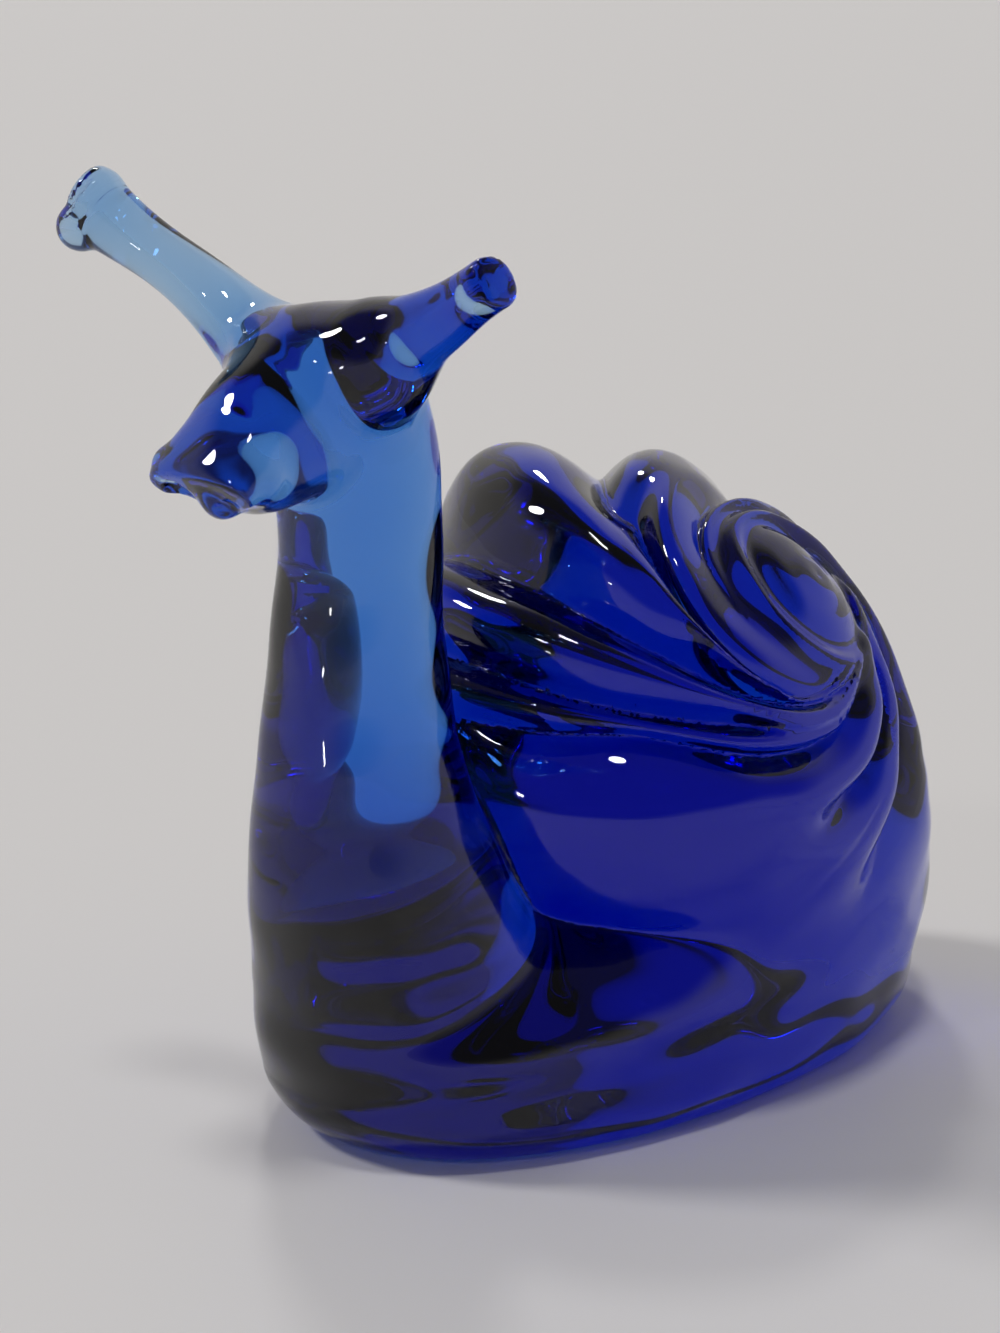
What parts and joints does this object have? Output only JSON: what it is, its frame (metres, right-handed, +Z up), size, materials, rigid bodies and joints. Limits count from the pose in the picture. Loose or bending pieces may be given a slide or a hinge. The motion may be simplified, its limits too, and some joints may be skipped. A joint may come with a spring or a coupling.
{
  "type": "snail figurine",
  "caption": "Solid cobalt-blue glass snail with a tall neck, two snipped horns, a flat muzzle and a swirled, ribbed shell on a broad rounded foot.",
  "frame": {"origin": "on the surface the snail stands on, near the middle of its sole", "axes": "+Z up, the snail looks along -Y, and its left side is towards +X"},
  "size_m": [0.0985, 0.17, 0.1597],
  "materials": {
    "cobalt_glass": "fire-polished, clear through its depth"
  },
  "bodies": {
    "root": {"foot": "cobalt_glass", "neck": "cobalt_glass", "head": "cobalt_glass", "muzzle": "cobalt_glass", "left_horn": "cobalt_glass", "right_horn": "cobalt_glass", "shell": "cobalt_glass", "shell_apex": "cobalt_glass"}
  },
  "joints": []
}
